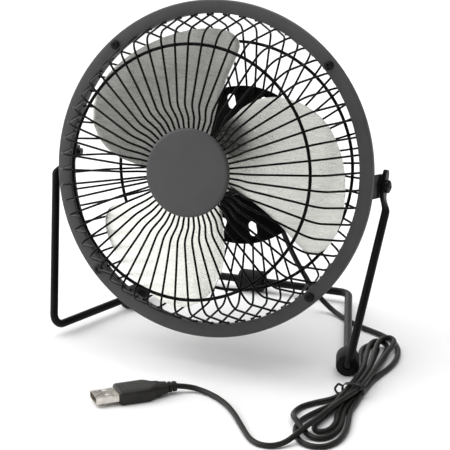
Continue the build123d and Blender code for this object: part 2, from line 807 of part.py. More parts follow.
# Cord: from the gland down to the floor, under the stand's side, and round to the tied hank
cord_start = gland_axis.position + gland_axis.direction * gland_end
drop_route = [
    cord_start,
    cord_start + gland_axis.direction * straight_exit,
    Vector(23.0, 33.8, 45.0),
    Vector(26.0, 37.3, 35.0),
    Vector(29.5, 41.5, 25.0),
    Vector(33.5, 45.0, 15.5),
    Vector(39.0, 46.8, 7.6),
    Vector(46.5, 44.8, 2.6),
    Vector(53.4, 39.9, 1.5),
    Vector(60.5, 33.6, 1.5),
]
floor_route = [
    Vector(53.4, 39.9, 1.5),
    Vector(60.5, 33.6, 1.5),
    Vector(70.1, 27.6, 1.5),
    Vector(80.0, 22.9, 1.5),
    Vector(88.0, 18.2, 1.5),
    Vector(94.7, 12.4, 1.5),
    Vector(99.7, 4.6, 1.5),
    Vector(102.9, -4.2, 1.5),
    Vector(104.6, -14.4, 1.5),
    Vector(104.4, -25.0, 1.5),
    Vector(102.2, -35.8, 1.5),
    Vector(100.0, -46.0, 1.5),
]
lead_route = [
    Vector(93.6, -117.5, 1.5),
    Vector(92.4, -124.8, 1.5),
    Vector(90.6, -132.2, 1.5),
    Vector(87.4, -139.6, 1.5),
    Vector(81.8, -144.0, 1.5),
    Vector(75.0, -144.3, 1.5),
    Vector(69.2, -140.6, 1.5),
    Vector(63.6, -133.6, 1.5),
    Vector(56.5, -123.4, 1.5),
    Vector(47.9, -111.3, 1.5),
    Vector(39.5, -101.9, 1.5),
    Vector(30.0, -94.6, 1.5),
    Vector(21.8, -91.0, 1.8),
    Vector(14.6, -91.2, 3.0),
    plug_neck,
]
# The drop ends and the floor stretch begins halfway along the run that they share
shared_run_middle = (drop_route[-2] + drop_route[-1]) / 2
drop_route[-1] = shared_run_middle
floor_route[0] = shared_run_middle

cord_pieces = {"cord_drop": drop_route, "cord_floor": floor_route, "cord_lead": lead_route}
for cord_name, route in cord_pieces.items():
    radii = corner_radii(route)
    with BuildPart() as cord:
        with BuildLine() as cord_path:
            FilletPolyline(*route, radius=radii)
        with BuildSketch(start_plane(cord_path.line)):
            Circle(cord_radius)
        sweep()
    cord.part.label = cord_name
    export_step(cord.part, "parts/" + cord_name + ".step")
    length = sum(edge.length for edge in cord_path.edges())
    print(cord_name, "length", round(length, 1), "radii", [round(r, 1) for r in radii])
    print("  volume", round(cord.part.volume), "of", round(pi * cord_radius**2 * length))

with BuildPart() as cord_hank:
    with BuildSketch():
        with BuildLine():
            Spline(
                (92.8, -66.0),
                (92.7, -44.0),
                (90.6, -28.0),
                (85.8, -12.0),
                (83.4, 3.0),
                (90.0, 10.5),
                (98.0, 6.0),
                (100.8, -15.0),
                (102.0, -42.0),
                (103.8, -66.0),
                (105.6, -84.0),
                (111.5, -104.0),
                (113.0, -124.0),
                (109.0, -136.0),
                (100.5, -138.8),
                (91.5, -134.5),
                (84.0, -117.5),
                (76.0, -100.0),
                (79.5, -84.5),
                (89.5, -74.5),
                periodic=True,
            )
        make_face()
    extrude(amount=hank_height)
cord_hank.part.label = "cord_hank"
export_step(cord_hank.part, "parts/cord_hank.step")

tie_middle = Vector(98.2, -66.0, 0)
tie_inner = 11.4
with BuildPart() as twist_tie:
    tie_side = tie_middle - Vector(0, tie_width / 2, 0)
    with BuildSketch(Plane(origin=tie_side, x_dir=(1, 0, 0), z_dir=(0, 1, 0))):
        block(-tie_inner / 2 - tie_wall, tie_inner / 2 + tie_wall, -hank_height - tie_wall, 0)
        with Locations((0, -hank_height / 2)):
            Rectangle(tie_inner, hank_height - 2 * tie_wall, mode=Mode.SUBTRACT)
    extrude(amount=tie_width)
twist_tie.part.label = "twist_tie"
export_step(twist_tie.part, "parts/twist_tie.step")

# Plug, lying on the floor
plug_side = Vector(plug_direction.Y, -plug_direction.X, 0)


def along_plug(distance):
    """A plane square to the plug, so far from the cord's end: x across it, y up."""
    return Plane(origin=plug_neck + plug_direction * distance, x_dir=plug_side, z_dir=plug_direction)


plug_body_end = plug_relief_length + plug_body_length
with BuildPart() as plug_body:
    with BuildSketch(along_plug(0)):
        Circle(cord_radius + 0.5)
    with BuildSketch(along_plug(plug_relief_length)):
        Circle(cord_radius + 1.4)
    loft()
    with BuildSketch(along_plug(plug_relief_length)):
        RectangleRounded(plug_width, plug_height, 2)
    extrude(amount=plug_body_length)
    with BuildSketch(along_plug(plug_body_end)):
        Rectangle(plug_shell_width, plug_shell_height)
    extrude(amount=-4, mode=Mode.SUBTRACT)
plug_body.part.label = "plug_body"
export_step(plug_body.part, "parts/plug_body.step")

with BuildPart() as plug_shell:
    with BuildSketch(along_plug(plug_body_end - 4)):
        Rectangle(plug_shell_width, plug_shell_height)
        Rectangle(
            plug_shell_width - 2 * plug_shell_wall,
            plug_shell_height - 2 * plug_shell_wall,
            mode=Mode.SUBTRACT,
        )
    extrude(amount=4 + plug_shell_length)
plug_shell.part.label = "plug_shell"
export_step(plug_shell.part, "parts/plug_shell.step")

tongue_low = plug_shell_wall - plug_shell_height / 2
with BuildPart() as plug_tongue:
    with BuildSketch(along_plug(plug_body_end - 4)):
        block(
            plug_shell_wall - plug_shell_width / 2,
            plug_shell_width / 2 - plug_shell_wall,
            tongue_low,
            tongue_low + plug_tongue_height,
        )
    extrude(amount=4 + plug_shell_length - plug_tongue_setback)
plug_tongue.part.label = "plug_tongue"
export_step(plug_tongue.part, "parts/plug_tongue.step")
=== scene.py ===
import json
from math import atan2, cos, degrees, pi, radians, sin, tan

import bmesh
import bpy
from mathutils import Matrix, Vector


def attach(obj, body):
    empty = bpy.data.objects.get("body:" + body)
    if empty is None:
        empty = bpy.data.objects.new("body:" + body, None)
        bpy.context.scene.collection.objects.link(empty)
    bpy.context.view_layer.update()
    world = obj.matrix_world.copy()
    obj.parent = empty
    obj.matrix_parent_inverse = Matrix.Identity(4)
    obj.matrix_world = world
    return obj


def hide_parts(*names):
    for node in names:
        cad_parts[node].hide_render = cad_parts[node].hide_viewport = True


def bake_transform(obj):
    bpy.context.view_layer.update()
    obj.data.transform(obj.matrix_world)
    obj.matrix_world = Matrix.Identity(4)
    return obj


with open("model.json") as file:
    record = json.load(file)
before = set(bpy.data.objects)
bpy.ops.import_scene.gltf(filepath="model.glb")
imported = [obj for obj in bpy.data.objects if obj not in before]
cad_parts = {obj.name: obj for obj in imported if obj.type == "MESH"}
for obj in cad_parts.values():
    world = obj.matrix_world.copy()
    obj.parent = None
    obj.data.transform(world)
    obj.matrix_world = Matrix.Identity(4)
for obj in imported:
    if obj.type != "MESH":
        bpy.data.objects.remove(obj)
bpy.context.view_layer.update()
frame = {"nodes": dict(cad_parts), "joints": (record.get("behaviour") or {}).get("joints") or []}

scene = bpy.context.scene
mm = 0.001

# The fan's own directions, from the joints: across, up in the guard's plane, and forwards
joints = {joint["name"]: joint for joint in frame["joints"]}
pivot = Vector(joints["tilt"]["pos_m"])
forward = Vector(joints["spin"]["axis"]).normalized()
across = Vector((1, 0, 0))
upward = forward.cross(across)
fanFrame = Matrix((
    (across.x, upward.x, forward.x, pivot.x),
    (across.y, upward.y, forward.y, pivot.y),
    (across.z, upward.z, forward.z, pivot.z),
    (0, 0, 0, 1),
)) @ Matrix.Scale(mm, 4)
floorFrame = Matrix.Scale(mm, 4)


# Camera, floor and light
view = {
    "place": Vector((0.4664, -1.1404, 0.4823)),
    "target": Vector((0.0005, -0.0050, 0.0646)),
    "lens": 185.8,
    "roll": radians(-0.45),
}
camera = bpy.data.objects.new("camera", bpy.data.cameras.new("camera"))
scene.collection.objects.link(camera)
camera.location = view["place"]
look = (view["target"] - view["place"]).to_track_quat("-Z", "Y").to_matrix()
camera.rotation_euler = (look @ Matrix.Rotation(view["roll"], 3, "Z")).to_euler()
camera.data.lens = view["lens"]
camera.data.sensor_width = 36
camera.data.clip_start = 0.05
camera.data.clip_end = 20
scene.camera = camera
scene.view_settings.view_transform = "Standard"
print("camera set")


# Meshes
# A finished mesh as a piece that rides on a body
def newPiece(name, bm, body, material, place=fanFrame, sharp=35, stands=()):
    bmesh.ops.remove_doubles(bm, verts=bm.verts, dist=0.0005)
    bmesh.ops.recalc_face_normals(bm, faces=bm.faces)
    bm.transform(place)
    mesh = bpy.data.meshes.new(name)
    bm.to_mesh(mesh)
    bm.free()
    for face in mesh.polygons:
        face.use_smooth = True
    mesh.set_sharp_from_angle(angle=radians(sharp))
    mesh.materials.append(material)
    piece = bpy.data.objects.new(name, mesh)
    scene.collection.objects.link(piece)
    if body:
        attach(piece, body)
    if stands:
        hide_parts(*stands)
    return piece


# Turns an outline of (radius, ahead) points about the fan's axis
def turned(bm, outline, steps=96, closed=False):
    verts = [bm.verts.new((radius, 0, ahead)) for radius, ahead in outline]
    edges = [bm.edges.new(pair) for pair in zip(verts, verts[1:])]
    if closed:
        edges.append(bm.edges.new((verts[-1], verts[0])))
    bmesh.ops.spin(bm, geom=verts + edges, cent=(0, 0, 0), axis=(0, 0, 1), angle=2 * pi,
                   steps=steps, use_merge=True)
    bmesh.ops.remove_doubles(bm, verts=bm.verts, dist=0.0005)
    bmesh.ops.recalc_face_normals(bm, faces=bm.faces)


# Rounds the edges that turn by more than an angle
def soften(bm, width, segments=2, angle=40):
    edges = {edge for face in bm.faces for edge in face.edges
             if len(edge.link_faces) == 2 and edge.calc_face_angle(0) > radians(angle)}
    bmesh.ops.bevel(bm, geom=list(edges), offset=width, offset_type="OFFSET", affect="EDGES",
                    segments=segments, profile=0.5, material=-1, clamp_overlap=True)


# A round wire through its corners, extruded along its runs and spun round its bends
def bentWire(bm, corners, bends, radius, sides=8, arcStep=14):
    corners = [Vector(corner) for corner in corners]
    heading = (corners[1] - corners[0]).normalized()
    lie = Matrix.Translation(corners[0]) @ heading.to_track_quat("Z", "Y").to_matrix().to_4x4()
    made = bmesh.ops.create_circle(bm, cap_ends=True, segments=sides, radius=radius, matrix=lie)
    ring = list({edge for vert in made["verts"] for edge in vert.link_edges})
    here = corners[0]
    for corner, after, bend in zip(corners[1:], corners[2:], bends):
        turn = heading.angle(after - corner)
        reach = bend * tan(turn / 2)
        arcStart = corner - heading * reach
        ring = pushed(bm, ring, arcStart - here)
        axis = heading.cross(after - corner).normalized()
        steps = max(2, round(degrees(turn) / arcStep))
        made = bmesh.ops.spin(bm, geom=ring, cent=arcStart + axis.cross(heading) * bend,
                              axis=axis, angle=turn, steps=steps)
        ring = [item for item in made["geom_last"] if isinstance(item, bmesh.types.BMEdge)]
        heading = (after - corner).normalized()
        here = corner + heading * reach
    ring = pushed(bm, ring, corners[-1] - here)
    bmesh.ops.contextual_create(bm, geom=ring)


# Extrudes a ring of edges by a move, and returns the new ring
def pushed(bm, ring, move):
    made = bmesh.ops.extrude_edge_only(bm, edges=ring)
    verts = [item for item in made["geom"] if isinstance(item, bmesh.types.BMVert)]
    bmesh.ops.translate(bm, verts=verts, vec=move)
    return [item for item in made["geom"] if isinstance(item, bmesh.types.BMEdge)
            and all(vert in verts for vert in item.verts)]


# Repeats everything in a mesh round the fan's axis
def repeated(bm, count):
    geom = bm.verts[:] + bm.edges[:] + bm.faces[:]
    bmesh.ops.spin(bm, geom=geom, cent=(0, 0, 0), axis=(0, 0, 1), steps=count - 1,
                   angle=2 * pi * (count - 1) / count, use_duplicate=True)


# Cuts one mesh by another, with a Boolean modifier, and returns the result
def cutBy(bm, cutter):
    pieces = []
    for source in (bm, cutter):
        bmesh.ops.recalc_face_normals(source, faces=source.faces)
        mesh = bpy.data.meshes.new("cutting")
        source.to_mesh(mesh)
        source.free()
        item = bpy.data.objects.new("cutting", mesh)
        scene.collection.objects.link(item)
        pieces.append(item)
    cut = pieces[0].modifiers.new("cut", "BOOLEAN")
    cut.operation = "DIFFERENCE"
    cut.solver = "EXACT"
    cut.use_self = True
    cut.object = pieces[1]
    depsgraph = bpy.context.evaluated_depsgraph_get()
    result = bmesh.new()
    result.from_mesh(pieces[0].evaluated_get(depsgraph).to_mesh())
    for item in pieces:
        bpy.data.objects.remove(item)
    return result


# A Phillips recess as a cutter: two tapered bars
def crossSlot(bm, size, depth, top):
    for turn in (0, pi / 2):
        made = bmesh.ops.create_cube(bm, size=1)
        bmesh.ops.scale(bm, verts=made["verts"], vec=(size, size * 0.24, depth * 2))
        low = [vert for vert in made["verts"] if vert.co.z < 0]
        bmesh.ops.scale(bm, verts=low, vec=(0.45, 0.8, 1))
        bmesh.ops.rotate(bm, verts=made["verts"], cent=(0, 0, 0), matrix=Matrix.Rotation(turn, 3, "Z"))
        bmesh.ops.translate(bm, verts=made["verts"], vec=(0, 0, top))


# Finishes
# A node material with its plain values on the shader's own sockets
def newFinish(name, colour, roughness, metallic=0.0, gloss=0.5):
    material = bpy.data.materials.new(name)
    material.use_nodes = True
    shader = material.node_tree.nodes["Principled BSDF"]
    shader.inputs["Base Color"].default_value = (*colour, 1)
    shader.inputs["Roughness"].default_value = roughness
    shader.inputs["Metallic"].default_value = metallic
    shader.inputs["Specular IOR Level"].default_value = gloss
    return material, shader


# A noise on the piece's Object coordinates, in metres
def noise(material, scale, detail=3, stretch=(1, 1, 1), turn=(0, 0, 0)):
    nodes, links = material.node_tree.nodes, material.node_tree.links
    place = nodes.new("ShaderNodeTexCoord")
    mapping = nodes.new("ShaderNodeMapping")
    mapping.inputs["Scale"].default_value = stretch
    mapping.inputs["Rotation"].default_value = turn
    texture = nodes.new("ShaderNodeTexNoise")
    texture.inputs["Scale"].default_value = scale
    texture.inputs["Detail"].default_value = detail
    links.new(place.outputs["Object"], mapping.inputs["Vector"])
    links.new(mapping.outputs["Vector"], texture.inputs["Vector"])
    return texture.outputs["Fac"]


# Maps a pattern onto a range of values of one of the shader's sockets
def spread(material, source, low, high, socket, start=0.3, end=0.7):
    nodes, links = material.node_tree.nodes, material.node_tree.links
    ranged = nodes.new("ShaderNodeMapRange")
    ranged.inputs["From Min"].default_value = start
    ranged.inputs["From Max"].default_value = end
    ranged.inputs["To Min"].default_value = low
    ranged.inputs["To Max"].default_value = high
    links.new(source, ranged.inputs["Value"])
    links.new(ranged.outputs["Result"], socket)


# Colours the piece between two tones by a pattern
def tinted(material, source, dark, light, start=0.3, end=0.7):
    nodes, links = material.node_tree.nodes, material.node_tree.links
    ramp = nodes.new("ShaderNodeValToRGB")
    ramp.color_ramp.elements[0].position = start
    ramp.color_ramp.elements[0].color = (*dark, 1)
    ramp.color_ramp.elements[1].position = end
    ramp.color_ramp.elements[1].color = (*light, 1)
    links.new(source, ramp.inputs["Fac"])
    links.new(ramp.outputs["Color"], nodes["Principled BSDF"].inputs["Base Color"])


# Raises the surface by a pattern
def raised(material, source, strength, distance):
    nodes, links = material.node_tree.nodes, material.node_tree.links
    bump = nodes.new("ShaderNodeBump")
    bump.inputs["Strength"].default_value = strength
    bump.inputs["Distance"].default_value = distance
    links.new(source, bump.inputs["Height"])
    links.new(bump.outputs["Normal"], nodes["Principled BSDF"].inputs["Normal"])


def ringPaint():
    material, shader = newFinish("ring_paint", (0.058, 0.058, 0.060), 0.5, gloss=0.3)
    tinted(material, noise(material, 90), (0.052, 0.052, 0.054), (0.062, 0.062, 0.064))
    spread(material, noise(material, 400), 0.46, 0.56, shader.inputs["Roughness"])
    raised(material, noise(material, 2200, 2), 0.12, 0.0002)
    return material


def wirePaint():
    material, shader = newFinish("wire_paint", (0.003, 0.003, 0.003), 0.38, gloss=0.05)
    tinted(material, noise(material, 120), (0.002, 0.002, 0.002), (0.005, 0.005, 0.005))
    spread(material, noise(material, 700), 0.26, 0.4, shader.inputs["Roughness"])
    raised(material, noise(material, 1500, 2), 0.1, 0.0001)
    return material


def standPaint():
    material, shader = newFinish("stand_paint", (0.004, 0.004, 0.0045), 0.34, gloss=0.11)
    tinted(material, noise(material, 60), (0.003, 0.003, 0.003), (0.006, 0.006, 0.0065))
    spread(material, noise(material, 500), 0.3, 0.44, shader.inputs["Roughness"])
    raised(material, noise(material, 1800, 2), 0.1, 0.00015)
    return material


def blackPlastic():
    material, shader = newFinish("black_plastic", (0.006, 0.006, 0.006), 0.45, gloss=0.3)
    tinted(material, noise(material, 150), (0.005, 0.005, 0.005), (0.009, 0.009, 0.009))
    spread(material, noise(material, 900), 0.4, 0.52, shader.inputs["Roughness"])
    raised(material, noise(material, 3500, 2), 0.25, 0.0001)
    return material


def capPaint():
    material, shader = newFinish("cap_paint", (0.056, 0.056, 0.058), 0.42, gloss=0.35)
    tinted(material, noise(material, 60), (0.052, 0.052, 0.054), (0.060, 0.060, 0.062))
    spread(material, noise(material, 300), 0.38, 0.47, shader.inputs["Roughness"])
    raised(material, noise(material, 2600, 2), 0.1, 0.00015)
    return material


def glossBlack():
    material, shader = newFinish("gloss_black", (0.008, 0.008, 0.008), 0.12)
    tinted(material, noise(material, 200), (0.006, 0.006, 0.006), (0.010, 0.010, 0.010))
    spread(material, noise(material, 600), 0.08, 0.18, shader.inputs["Roughness"])
    return material


def brushedAluminium():
    material, shader = newFinish("brushed_aluminium", (0.72, 0.72, 0.68), 0.3, metallic=0.95)
    streaks = noise(material, 900, 2, stretch=(0.03, 1, 1), turn=(0, 0, radians(20)))
    tinted(material, streaks, (0.67, 0.67, 0.63), (0.76, 0.76, 0.715))
    spread(material, noise(material, 500, 2, stretch=(0.05, 1, 1), turn=(0, 0, radians(20))),
           0.24, 0.32, shader.inputs["Roughness"])
    raised(material, noise(material, 28, 1), 0.35, 0.004)
    return material


def platedSteel():
    material, shader = newFinish("plated_steel", (0.55, 0.54, 0.52), 0.3, metallic=1.0)
    tinted(material, noise(material, 300), (0.46, 0.45, 0.43), (0.62, 0.61, 0.59))
    spread(material, noise(material, 900), 0.22, 0.4, shader.inputs["Roughness"])
    return material


def plugMetal():
    material, shader = newFinish("plug_metal", (0.62, 0.58, 0.53), 0.2, metallic=1.0)
    tinted(material, noise(material, 250), (0.50, 0.46, 0.41), (0.72, 0.69, 0.65))
    spread(material, noise(material, 1200, 3, stretch=(1, 0.1, 1)), 0.14, 0.3, shader.inputs["Roughness"])
    return material


def blackScrew():
    material, shader = newFinish("black_screw", (0.006, 0.006, 0.006), 0.35, gloss=0.18)
    tinted(material, noise(material, 600), (0.004, 0.004, 0.004), (0.009, 0.009, 0.009))
    spread(material, noise(material, 1500), 0.25, 0.45, shader.inputs["Roughness"])
    return material


def footRubber():
    material, shader = newFinish("foot_rubber", (0.005, 0.005, 0.005), 0.6, gloss=0.12)
    tinted(material, noise(material, 250), (0.004, 0.004, 0.004), (0.008, 0.008, 0.008))
    spread(material, noise(material, 800), 0.5, 0.7, shader.inputs["Roughness"])
    raised(material, noise(material, 1600, 3), 0.3, 0.0002)
    return material


def cordJacket():
    material, shader = newFinish("cord_jacket", (0.009, 0.0083, 0.0072), 0.36, gloss=0.24)
    tinted(material, noise(material, 70), (0.007, 0.0065, 0.0055), (0.011, 0.0102, 0.0088))
    spread(material, noise(material, 400), 0.36, 0.5, shader.inputs["Roughness"])
    raised(material, noise(material, 900, 2), 0.15, 0.0002)
    return material


def plugPlastic():
    material, shader = newFinish("plug_plastic", (0.017, 0.016, 0.013), 0.5, gloss=0.25)
    tinted(material, noise(material, 120), (0.014, 0.0132, 0.011), (0.021, 0.020, 0.0165))
    spread(material, noise(material, 700), 0.42, 0.58, shader.inputs["Roughness"])
    raised(material, noise(material, 2800, 2), 0.25, 0.00015)
    return material


def whitePlastic():
    material, shader = newFinish("white_plastic", (0.82, 0.82, 0.80), 0.4)
    tinted(material, noise(material, 200), (0.78, 0.78, 0.76), (0.85, 0.85, 0.83))
    spread(material, noise(material, 800), 0.35, 0.45, shader.inputs["Roughness"])
    return material


def copperWire():
    material, _ = newFinish("copper_wire", (0.60, 0.24, 0.10), 0.3, metallic=1.0)
    tinted(material, noise(material, 900, 2, stretch=(0.05, 1, 1)), (0.42, 0.15, 0.06), (0.72, 0.33, 0.16))
    raised(material, noise(material, 2400, 2, stretch=(0.05, 1, 1)), 0.5, 0.0002)
    return material


def sinteredBronze():
    material, _ = newFinish("sintered_bronze", (0.45, 0.28, 0.12), 0.45, metallic=1.0)
    tinted(material, noise(material, 1200), (0.32, 0.19, 0.08), (0.52, 0.34, 0.16))
    raised(material, noise(material, 3000), 0.3, 0.0001)
    return material


def darkFerrite():
    material, _ = newFinish("dark_ferrite", (0.05, 0.05, 0.052), 0.6)
    tinted(material, noise(material, 800), (0.035, 0.035, 0.037), (0.07, 0.07, 0.072))
    raised(material, noise(material, 2600), 0.4, 0.0001)
    return material


ringFinish = ringPaint()
wireFinish = wirePaint()
standFinish = standPaint()
plasticFinish = blackPlastic()
capFinish = capPaint()
glossFinish = glossBlack()
bladeFinish = brushedAluminium()
steelFinish = platedSteel()
plugMetalFinish = plugMetal()
screwFinish = blackScrew()
rubberFinish = footRubber()
cordFinish = cordJacket()
plugFinish = plugPlastic()
whiteFinish = whitePlastic()
copperFinish = copperWire()
bronzeFinish = sinteredBronze()
ferriteFinish = darkFerrite()

nodeFinishes = {
    "backing_plate": wireFinish,
    "cap_screw": screwFinish,
    "rear_plate": wireFinish,
    "ring_nuts": screwFinish,
    "cover_screws": screwFinish,
    "hub_screw": screwFinish,
    "motor_screws": steelFinish,
    "motor_end_cap": plasticFinish,
    "switch_body": plasticFinish,
    "switch_rocker": glossFinish,
    "armature_core": steelFinish,
    "shaft": steelFinish,
    "windings": copperFinish,
    "commutator": copperFinish,
    "rear_bush": bronzeFinish,
    "front_bush": bronzeFinish,
    "magnets": ferriteFinish,
    "brushes": ferriteFinish,
    "pivot_washer_right": plasticFinish,
    "pivot_washer_left": plasticFinish,
    "pivot_nut_right": screwFinish,
    "pivot_nut_left": screwFinish,
    "plug_tongue": whiteFinish,
}
for node, material in nodeFinishes.items():
    for slot in frame["nodes"][node].material_slots:
        slot.material = material
print("finishes made")


# Cord: down from the gland, under the stand's side, round to the tied hank, and out to the plug
cordValues = {
    "radius": 1.5,
    "glandBack": 48.0,
    "glandEnd": 35.0,
    "glandAngle": radians(-60),
    "straightExit": 6.0,
}
outOfGland = across * cos(cordValues["glandAngle"]) + upward * sin(cordValues["glandAngle"])
glandPlace = pivot / mm - forward * cordValues["glandBack"]
cordExit = glandPlace + outOfGland * cordValues["glandEnd"]
cordRoute = [
    cordExit, cordExit + outOfGland * cordValues["straightExit"],
    # hanging, and down onto the floor
    (23.0, 33.8, 45.0), (26.0, 37.3, 35.0), (29.5, 41.5, 25.0), (33.5, 45.0, 15.5),
    (39.0, 46.8, 7.6), (46.5, 44.8, 2.6), (53.4, 39.9, 1.5), (60.5, 33.6, 1.5),
    # along the stand's side to the tie
    (70.1, 27.6, 1.5), (80.0, 22.9, 1.5), (88.0, 18.2, 1.5), (94.7, 12.4, 1.5),
    (99.7, 4.6, 1.5), (102.9, -4.2, 1.5), (104.6, -14.4, 1.5), (104.4, -25.0, 1.5),
    (102.6, -35.8, 1.5), (101.6, -46.0, 1.5), (102.0, -56.0, 1.9), (102.4, -66.0, 2.3),
    # the outer loop
    (103.4, -76.0, 1.7), (104.0, -86.8, 1.5), (106.2, -96.0, 1.5), (109.0, -105.5, 1.5),
    (111.0, -115.9, 1.5), (111.0, -127.0, 1.5), (107.4, -135.0, 1.5), (100.8, -137.4, 1.5),
    (93.6, -134.4, 1.5), (87.4, -125.5, 1.5), (83.8, -113.5, 1.5), (85.6, -102.0, 1.5),
    (89.8, -91.0, 1.5), (94.6, -79.5, 1.6), (97.0, -66.0, 2.3),
    # the first bight
    (96.4, -50.0, 1.8), (95.0, -35.0, 1.5), (93.0, -20.0, 1.5), (91.0, -8.0, 1.5),
    (89.6, 0.0, 1.5), (85.6, 4.4, 1.5), (81.8, 0.0, 1.5), (82.4, -8.5, 1.5),
    (86.2, -20.0, 1.5), (91.4, -35.0, 1.5), (93.2, -50.0, 1.8), (94.0, -66.0, 2.3),
    # the left-hand loop, which crosses over the outer one
    (90.9, -76.5, 1.7), (83.4, -84.0, 1.5), (78.2, -91.6, 1.5), (77.6, -100.4, 1.8),
    (80.2, -109.2, 3.6), (84.6, -116.0, 4.7), (89.8, -121.8, 3.4), (95.0, -126.0, 1.8),
    (101.0, -127.6, 1.5), (105.4, -122.8, 1.5), (106.6, -113.6, 1.5), (105.2, -104.4, 1.5),
    (102.4, -95.0, 1.5), (100.7, -85.5, 1.6), (100.2, -76.0, 1.8), (100.0, -66.0, 2.3),
    # the second bight
    (99.4, -50.0, 1.8), (98.3, -35.0, 1.5), (97.0, -20.0, 1.5), (95.6, -6.0, 1.5),
    (94.4, 3.2, 1.6), (90.2, 7.6, 2.8), (86.0, 3.2, 4.5), (86.2, -6.0, 4.5),
    (89.4, -20.0, 4.4), (93.2, -35.0, 4.3), (94.8, -50.0, 4.6), (95.6, -66.0, 4.9),
    # the inner loop
    (95.2, -76.0, 4.2), (94.2, -86.5, 2.4), (94.0, -97.0, 1.5), (92.8, -107.0, 1.5),
    (93.6, -115.5, 1.5), (98.0, -119.8, 1.5), (102.4, -115.0, 1.5), (102.4, -104.5, 1.5),
    (99.0, -94.0, 1.5), (97.8, -84.5, 2.8), (98.1, -76.0, 4.2), (98.6, -66.0, 4.9),
    # the third bight
    (97.8, -50.0, 4.6), (96.6, -35.0, 4.4), (93.4, -20.0, 4.5), (90.4, -6.0, 4.8),
    (90.0, 4.2, 5.8), (94.0, 9.4, 5.4), (98.2, 4.6, 4.6), (98.2, -6.0, 4.4),
    (98.8, -20.0, 4.2), (99.8, -35.0, 4.4), (101.0, -50.0, 4.6), (101.4, -66.0, 4.9),
    # out of the tie, over the loops, and away to the plug
    (99.9, -76.0, 5.2), (97.2, -88.0, 5.0), (95.2, -100.0, 4.8), (93.9, -112.0, 4.8),
    (92.8, -122.0, 5.6), (91.0, -131.4, 4.6), (87.6, -139.4, 2.4), (82.2, -144.0, 1.5),
    (75.2, -144.6, 1.5), (69.2, -140.6, 1.5), (63.6, -133.6, 1.5), (56.5, -123.4, 1.5),
    (47.9, -111.3, 1.5), (39.5, -101.9, 1.5), (30.0, -94.6, 1.5), (21.8, -91.0, 1.8),
    (14.6, -91.2, 3.0), (8.7, -95.0, 3.9),
]
routeCurve = bpy.data.curves.new("cord_route", "CURVE")
routeCurve.dimensions = "3D"
routeCurve.resolution_u = 10
spline = routeCurve.splines.new("NURBS")
spline.points.add(len(cordRoute) - 1)
for point, place in zip(spline.points, cordRoute):
    point.co = (*(Vector(place) * mm), 1)
spline.order_u = 3
spline.use_endpoint_u = True
routeObject = bpy.data.objects.new("cord_route", routeCurve)
scene.collection.objects.link(routeObject)


# The evaluated mesh of an object
def meshOf(item):
    bpy.context.view_layer.update()
    depsgraph = bpy.context.evaluated_depsgraph_get()
    return bpy.data.meshes.new_from_object(item.evaluated_get(depsgraph))


cordPath = [tuple(vert.co) for vert in meshOf(routeObject).vertices]
routeCurve.bevel_depth = cordValues["radius"] * mm
routeCurve.bevel_resolution = 3
routeCurve.use_fill_caps = True
tube = bmesh.new()
tube.from_mesh(meshOf(routeObject))
bpy.data.objects.remove(routeObject)
cord = newPiece("cord", tube, None, cordFinish, place=Matrix.Identity(4),
                stands=("cord_drop", "cord_floor", "cord_hank", "cord_lead"))


# Gland: a ribbed strain relief out of the rear cover's side
glandValues = {
    "foot": [(0, 21.6), (3.4, 21.6), (3.4, 23.1), (2.5, 23.1), (2.5, 25.02), (3.5, 25.02), (3.5, 26.0)],
    "mouth": [(2.0, 34.2), (2.0, 34.8), (1.55, 35.0), (0, 35.0)],
    "ribs": 4,
    "firstRib": 26.3,
    "ribStep": 2.0,
    "ribRadius": 3.1,
    "taper": 0.25,
}


def makeGland():
    gland = bmesh.new()
    ribs = list(glandValues["foot"])
    for rib in range(glandValues["ribs"]):
        ahead = glandValues["firstRib"] + rib * glandValues["ribStep"]
        wide = glandValues["ribRadius"] - rib * glandValues["taper"]
        ribs += [(wide - 0.45, ahead), (wide - 0.45, ahead + 0.6), (wide, ahead + 0.7), (wide, ahead + 1.5)]
    ribs += glandValues["mouth"]
    turned(gland, ribs, 32)
    soften(gland, 0.15, 1)
    lie = outOfGland.to_track_quat("Z", "Y").to_matrix().to_4x4()
    place = floorFrame @ Matrix.Translation(glandPlace) @ lie
    return newPiece("gland", gland, "head", plugFinish, place=place,
                    stands=("cord_gland",))


gland = makeGland()

# Plug: moulded grip with ribs, tapered relief, and a metal shell with its four windows
plugValues = {
    "neck": Vector((8.7, -95.0, 3.9)),
    "along": Vector((-0.747, -0.664, 0)).normalized(),
    "reliefLength": 8.0,
    "gripLength": 25.2,
    "width": 15.5,
    "height": 7.6,
    "shellLength": 12.7,
    "shellWidth": 12.0,
    "shellHeight": 4.5,
    "shellWall": 0.3,
}
plugAcross = Vector((0, 0, 1)).cross(plugValues["along"])
plugFrame = floorFrame @ Matrix.Translation(plugValues["neck"]) @ Matrix((
    (plugAcross.x, 0, plugValues["along"].x, 0),
    (plugAcross.y, 0, plugValues["along"].y, 0),
    (0, 1, 0, 0),
    (0, 0, 0, 1),
))


